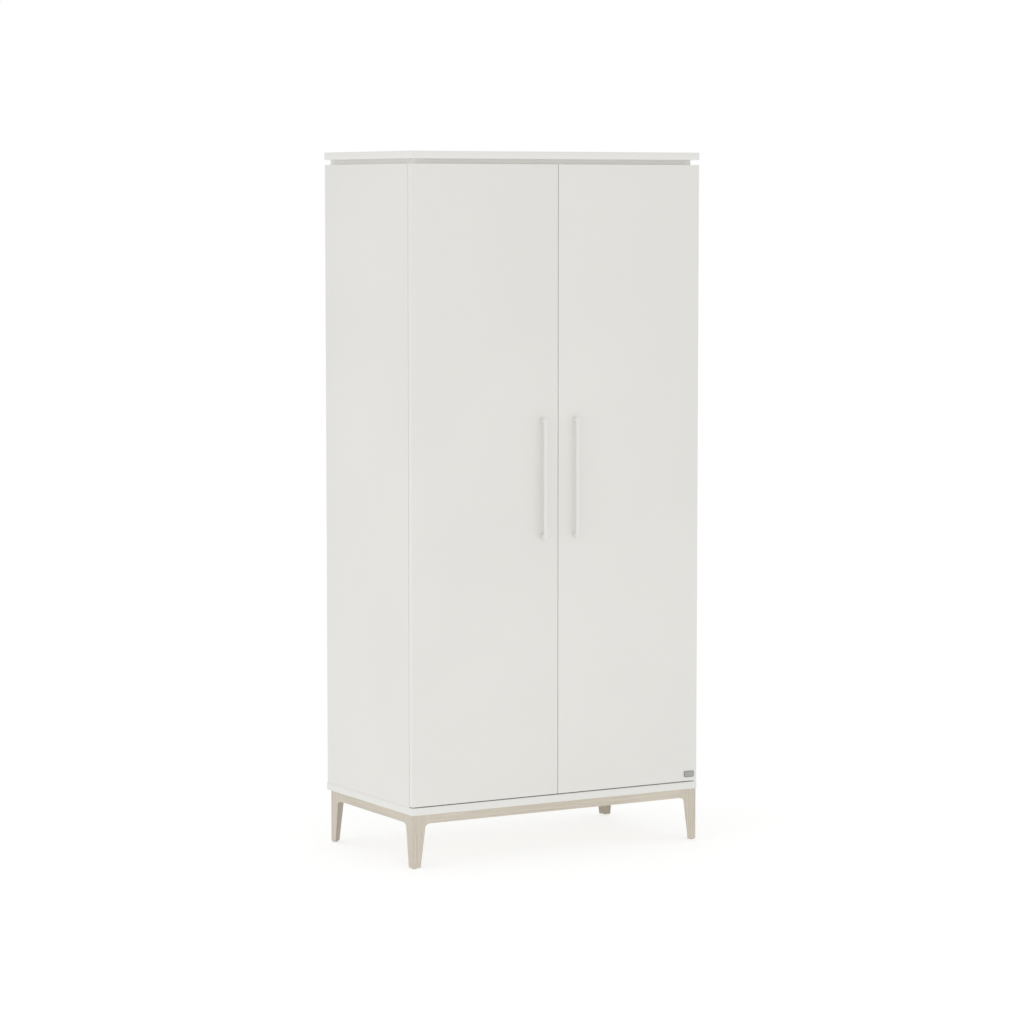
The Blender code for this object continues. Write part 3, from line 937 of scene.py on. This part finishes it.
def makeBracket(side):
    # an angle of sheet steel, with a slot in the leg on the back
    node = f"anti_tip_bracket_{side}"
    low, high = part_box(node)
    sheet, radius, reach = brackets["sheet"], brackets["slotRadius"], brackets["slotLength"] / 4
    centre = middle(node)
    front, rear = high.y - brackets["slotDepth"], high.y + past
    bracket = addBlock(low, high)
    innerLow = (low.x - past, low.y - past, low.z - past)
    cutters = [addBlock(innerLow, (high.x + past, high.y - sheet, high.z - sheet))]
    for x in (centre.x - reach, centre.x + reach):
        cutters.append(addRod(radius, (x, front, centre.z), (x, rear, centre.z)))
    slotLow = (centre.x - reach, front, centre.z - radius)
    cutters.append(addBlock(slotLow, (centre.x + reach, rear, centre.z + radius)))
    for cutter in cutters:
        cutAway(bracket, [cutter])
    roundEdges(bracket, brackets["edgeRadius"], 2)
    heads = [
        copyTo(screwModel, facing((centre.x + step, centre.y, high.z - sheet), (0, 0, -1)))
        for step in (-brackets["screwFromCentre"], brackets["screwFromCentre"])
    ]
    finishSteel(joinAll([bracket, *heads]), f"{node}_steel", "carcass", [node])


for side in sides:
    makeBracket(side)
print("brackets done")


# doors: board with cup bores, handle, plaque and bumpers

doors = {"edgeRadius": 0.4 * mm, "boreDepth": 12.5 * mm, "boreRadius": 17.5 * mm, "hinges": 4}
handles = {
    "bar": 7.5 * mm,
    "post": 12 * mm,
    "bendRadius": 1.6 * mm,
    "innerRadius": 2.5 * mm,
    "edgeRadius": 0.9 * mm,
}
bumpers = {"dome": 0.9 * mm}
plaqueShape = {
    "corner": 3 * mm,
    "rim": 1.1 * mm,
    "recess": 0.25 * mm,
    "metalFrom": 0.2 * mm,  # what lies deeper than this is bright
    "edgeRadius": 0.15 * mm,
}


def makeDoor(side):
    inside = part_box(f"{side}_door")[1].y
    bores = []
    for number in range(1, doors["hinges"] + 1):
        cup = middle(f"hinge_cup_{side}_{number}")
        floor = (cup.x, inside - doors["boreDepth"], cup.z)
        bores.append((doors["boreRadius"], floor, (cup.x, inside + past, cup.z), 64))
    makeBoard(f"{side}_door", f"{side}_door", doors["edgeRadius"], bores)


def makeHandle(side):
    node = f"{side}_handle"
    low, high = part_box(node)
    handle = addBlock(low, high)
    bend = handles["bendRadius"]
    bevelEdges(handle, bend, 5, lambda edge: runsAlong(edge, 0) and halfway(edge).y < low.y + near)
    grip = addBlock(
        (low.x - past, low.y + handles["bar"], low.z + handles["post"]),
        (high.x + past, high.y + 10 * past, high.z - handles["post"]),
    )
    bevelEdges(grip, handles["innerRadius"], 5, lambda edge: runsAlong(edge, 0) and halfway(edge).y < high.y)
    cutAway(handle, [grip])
    roundEdges(handle, handles["edgeRadius"], 3, 50)
    finishPiece(handle, f"{node}_bow", handlePaint, f"{side}_door", [node])
    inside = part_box(f"{side}_door")[1].y
    x = middle(node).x
    ends = (low.z + handles["post"] / 2, high.z - handles["post"] / 2)
    heads = scatter(screwModel, [facing((x, inside, z), (0, 1, 0)) for z in ends])
    finishSteel(heads, f"{node}_screws", f"{side}_door")


def makeBumper(node, body):
    low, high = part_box(node)
    centre = middle(node)
    bumper = addRod((high.x - low.x) / 2, (centre.x, low.y, centre.z), (centre.x, high.y, centre.z), 28)
    bevelEdges(bumper, bumpers["dome"], 5, lambda edge: halfway(edge).y > high.y - near)
    finishPiece(bumper, f"{node}_gel", bumperGel, body, [node], 60)


def makePlaque():
    low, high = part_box("plaque")
    plaque = addBlock(low, high)
    bevelEdges(plaque, plaqueShape["corner"], 8, lambda edge: runsAlong(edge, 1))
    pick(plaque, "FACE", lambda face: looksAlong(face, 1, -1))
    bpy.ops.mesh.inset(thickness=plaqueShape["rim"])
    pull((0, plaqueShape["recess"], 0))
    leaveEdit()
    roundEdges(plaque, plaqueShape["edgeRadius"], 2, 50)
    finishPiece(plaque, "plaque_plate", plaqueRim, "right_door", ["plaque"])
    floor = low.y + plaqueShape["metalFrom"]
    paintFaces(plaque, plaqueMetal, lambda centre, normal: normal.y < -0.9 and centre.y > floor)


for side in sides:
    makeDoor(side)
    makeHandle(side)
    for place in ("bottom", "top"):
        makeBumper(f"bumper_{side}_{place}", f"{side}_door")
makePlaque()
print("doors done")


# concealed hinges: cup in the door, arm on the side panel, links between them

cups = {
    "lift": 0.3 * mm,
    "wing": 1.1 * mm,
    "wingHalf": 6.5 * mm,
    "wingCorner": 5 * mm,
    "wall": 1.2 * mm,
    "edgeRadius": 0.25 * mm,
    "bowlRadius": 17.2 * mm,
    "screwFromCentre": 22 * mm,
    "pinRadius": 1.6 * mm,
    "pinEdge": 0.3 * mm,
    "pinDepth": 7.5 * mm,
    "pinPlaces": (-3.2 * mm, 4.8 * mm),
    "pinReach": 0.8,  # of the bowl's radius
}
arms = {
    "halfWidth": 7.5 * mm,
    "open": 4.5 * mm,  # from the panel to the channel's open side
    "top": 14 * mm,
    "shoulder": 2.2 * mm,
    "wall": 1.2 * mm,
    "edgeRadius": 0.25 * mm,
    "noseLow": 3 * mm,
    "noseRoof": 2.2 * mm,
    "noseCut": 3 * mm,
    "lift": 0.3 * mm,
    "plate": 2.2 * mm,
    "plateFrom": 30 * mm,
    "plateTo": 44 * mm,
    "plateHalf": 24 * mm,
    "plateCorner": 4 * mm,
    "plateEdge": 0.4 * mm,
    "plateScrews": 17 * mm,
    "spineFrom": 23 * mm,
    "spineTo": 52 * mm,
    "spineHalf": 5.6 * mm,
    "spineBelow": 3 * mm,
    "spineEdge": 0.8 * mm,
    "screws": (24 * mm, 46 * mm),
    "screwSunk": 0.9 * mm,
}
links = {
    "halfWidth": 5.4 * mm,
    "thickness": 1.3 * mm,
    "heights": (6.4 * mm, 9.7 * mm),
    "back": 7 * mm,
    "deep": 11 * mm,
    "eyeRadius": 1.7 * mm,
    "eyeEdge": 0.3 * mm,
    "bendFrom": 2 * mm,
    "bendTo": -7.5 * mm,
    "cuts": 34,
}


def modelCup():
    # its mouth faces +Y at y = 0, its bowl sinks to -Y and its wings run along Z
    low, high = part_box("hinge_cup_left_1")
    halfLong = (high.z - low.z) / 2
    floor = low.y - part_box("left_door")[1].y
    front = cups["lift"] + cups["wing"]
    wings = addBlock((-cups["wingHalf"], cups["lift"], -halfLong), (cups["wingHalf"], front, halfLong))
    bevelEdges(wings, cups["wingCorner"], 6, lambda edge: runsAlong(edge, 1))
    radius = min(cups["bowlRadius"], (high.x - low.x) / 2)
    bowl = addRod(radius, (0, floor, 0), (0, front, 0), 56)
    useModifier(wings, "BOOLEAN", operation="UNION", solver="EXACT", object=bowl)
    drop(bowl)
    inside = radius - cups["wall"]
    cutAway(wings, [addRod(inside, (0, floor + cups["wall"], 0), (0, front + past, 0), 56)])
    roundEdges(wings, cups["edgeRadius"], 2)
    reach, deep = inside * cups["pinReach"], -cups["pinDepth"]
    extras = [addRod(cups["pinRadius"], (x, deep, -reach), (x, deep, reach), 16) for x in cups["pinPlaces"]]
    for pin in extras:
        roundEdges(pin, cups["pinEdge"], 2)
    for z in (cups["screwFromCentre"], -cups["screwFromCentre"]):
        extras.append(copyTo(screwModel, facing((0, front, z), (0, 1, 0))))
    return joinAll([wings, *extras])


def modelArm():
    # on a panel that faces +X at x = 0, its nose to -Y, its plate across it along Z
    low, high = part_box("hinge_arm_left_1")
    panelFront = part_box("left_side_panel")[0].y
    nose, tail = low.y - panelFront, high.y - panelFront
    half, top, wall, shoulder = arms["halfWidth"], arms["top"], arms["wall"], arms["shoulder"]
    arm = addBlock((arms["open"], nose, -half), (top, tail, half))
    for axis in (1, 2):
        bevelEdges(arm, shoulder, 4, lambda edge: halfway(edge).x > top - mm and runsAlong(edge, axis))
    pick(arm, "FACE", lambda face: looksAlong(face, 0, -1))
    bpy.ops.mesh.inset(thickness=wall)
    pull((top - arms["open"] - 2 * wall, 0, 0))
    leaveEdit()
    # the nose is open to the front, for the links
    noseLow = (arms["noseLow"], nose - past, wall - half)
    cutAway(arm, [addBlock(noseLow, (top - arms["noseRoof"], nose + arms["noseCut"], half - wall))])
    roundEdges(arm, arms["edgeRadius"], 2, 50)
    lift, plateFrom, plateTo = arms["lift"], arms["plateFrom"], arms["plateTo"]
    onPlate = lift + arms["plate"]
    plate = addBlock((lift, plateFrom, -arms["plateHalf"]), (onPlate, plateTo, arms["plateHalf"]))
    bevelEdges(plate, arms["plateCorner"], 5, lambda edge: runsAlong(edge, 0))
    roundEdges(plate, arms["plateEdge"], 2)
    spineLow = (lift, arms["spineFrom"], -arms["spineHalf"])
    spine = addBlock(spineLow, (top - arms["spineBelow"], arms["spineTo"], arms["spineHalf"]))
    roundEdges(spine, arms["spineEdge"], 3)
    middleY = (plateFrom + plateTo) / 2
    places = [(onPlate, middleY, z) for z in (arms["plateScrews"], -arms["plateScrews"])]
    places += [(top - arms["screwSunk"], y, 0) for y in arms["screws"]]
    heads = [copyTo(screwModel, facing(place, (1, 0, 0))) for place in places]
    return joinAll([arm, plate, spine, *heads])


def modelLinks():
    # two flat links with rolled eyes, in the arm's own coordinates
    half = links["halfWidth"]
    parts = []
    for start in links["heights"]:
        link = addBlock((start, -links["deep"], -half), (start + links["thickness"], links["back"], half))
        pick(link, "EDGE", lambda edge: runsAlong(edge, 1))
        bpy.ops.mesh.subdivide(number_cuts=links["cuts"])
        leaveEdit()
        middleX = start + links["thickness"] / 2
        for y in (-links["deep"], links["back"]):
            eye = addRod(links["eyeRadius"], (middleX, y, -half), (middleX, y, half), 20)
            parts.append(roundEdges(eye, links["eyeEdge"], 2))
        parts.append(link)
    return joinAll(parts)


cupModel, armModel, linkModel = modelCup(), modelArm(), modelLinks()
for side, outward in sides.items():
    door = f"{side}_door"
    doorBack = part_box(door)[1].y
    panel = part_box(f"{side}_side_panel")
    inner = panel[1].x if outward < 0 else panel[0].x
    turn = Matrix.Rotation(math.pi if outward > 0 else 0, 4, "Y")
    for number in range(1, doors["hinges"] + 1):
        cupNode, armNode = f"hinge_cup_{side}_{number}", f"hinge_arm_{side}_{number}"
        centre = middle(cupNode)
        cup = copyTo(cupModel, Matrix.Translation((centre.x, doorBack, centre.z)) @ turn)
        finishSteel(cup, f"{cupNode}_steel", door, [cupNode])
        onPanel = Matrix.Translation((inner, panel[0].y, middle(armNode).z)) @ turn
        arm = copyTo(armModel, onPanel)
        finishSteel(arm, f"{armNode}_steel", "carcass", [armNode])
        link = copyTo(linkModel, onPanel)
        finishSteel(link, f"hinge_links_{side}_{number}")
        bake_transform(link)
drop(cupModel, armModel, linkModel, screwModel, camModel)
print("hinges done")


# floor, light and camera

studio = {
    "floorSize": 60,
    "floorColour": (0.56, 0.56, 0.56),
    "floorCloud": (0.55, 0.55, 0.55),
    "floorGlow": 0.525,  # keeps the floor pale where the base shades it
    "seenWorld": 1.0,
    "worldLight": 0.815,
    "softboxSize": 5,
    "softboxes": {
        # where each stands, and its power
        "sideLight": ((-9.0, -2.0, 3.5), 67),
        "frontLight": ((-2.0, -10.0, 3.5), 58.5),
    },
    "lightTarget": (0, 0, 1.0),
    "cameraPlace": (-5.0829, -8.7689, 1.8636),
    "cameraPitch": 84.898,
    "cameraYaw": -30.0675,
    "lens": 124.02,
    "sensor": 36,
}


def makeFloor():
    deselectAll()
    bpy.ops.mesh.primitive_plane_add(size=studio["floorSize"], location=(0, 0, 0))
    floor = settle(bpy.context.active_object)
    floor.name = "floor"
    paint = newPaint(
        "paleFloor",
        studio["floorColour"],
        studio["floorCloud"],
        rough=0.8,
        bump=0.02,
        Emission_Strength=studio["floorGlow"],
    )
    paint.node_tree.nodes["Principled BSDF"].inputs["Emission Color"].default_value = (1, 1, 1, 1)
    floor.data.materials.append(paint)


def addSoftbox(name, place, power):
    light = bpy.data.lights.new(name, "AREA")
    light.size = studio["softboxSize"]
    light.energy = power
    lamp = bpy.data.objects.new(name, light)
    bpy.context.scene.collection.objects.link(lamp)
    lamp.location = place
    aim = Vector(studio["lightTarget"]) - Vector(place)
    lamp.rotation_euler = aim.to_track_quat("-Z", "Y").to_euler()
    lamp.visible_camera = False


def makeStudio():
    # an even white room; what the lens sees of it is a little brighter than the light it gives
    world = bpy.data.worlds.new("studio")
    world.use_nodes = True
    tree = world.node_tree
    room = tree.nodes["Background"]
    room.inputs["Color"].default_value = (1, 1, 1, 1)
    seen = addNode(tree, "ShaderNodeLightPath").outputs["Is Camera Ray"]
    extra = addMath(tree, "MULTIPLY", seen, studio["seenWorld"] - studio["worldLight"])
    tree.links.new(addMath(tree, "ADD", extra, studio["worldLight"]), room.inputs["Strength"])
    bpy.context.scene.world = world
    for name, (place, power) in studio["softboxes"].items():
        addSoftbox(name, place, power)
    bpy.context.scene.view_settings.view_transform = "Standard"


def makeCamera():
    camera = bpy.data.objects.new("camera", bpy.data.cameras.new("camera"))
    bpy.context.scene.collection.objects.link(camera)
    camera.location = studio["cameraPlace"]
    camera.rotation_euler = (math.radians(studio["cameraPitch"]), 0, math.radians(studio["cameraYaw"]))
    camera.data.lens = studio["lens"]
    camera.data.sensor_width = studio["sensor"]
    bpy.context.scene.camera = camera


makeFloor()
makeStudio()
makeCamera()
print("studio done")
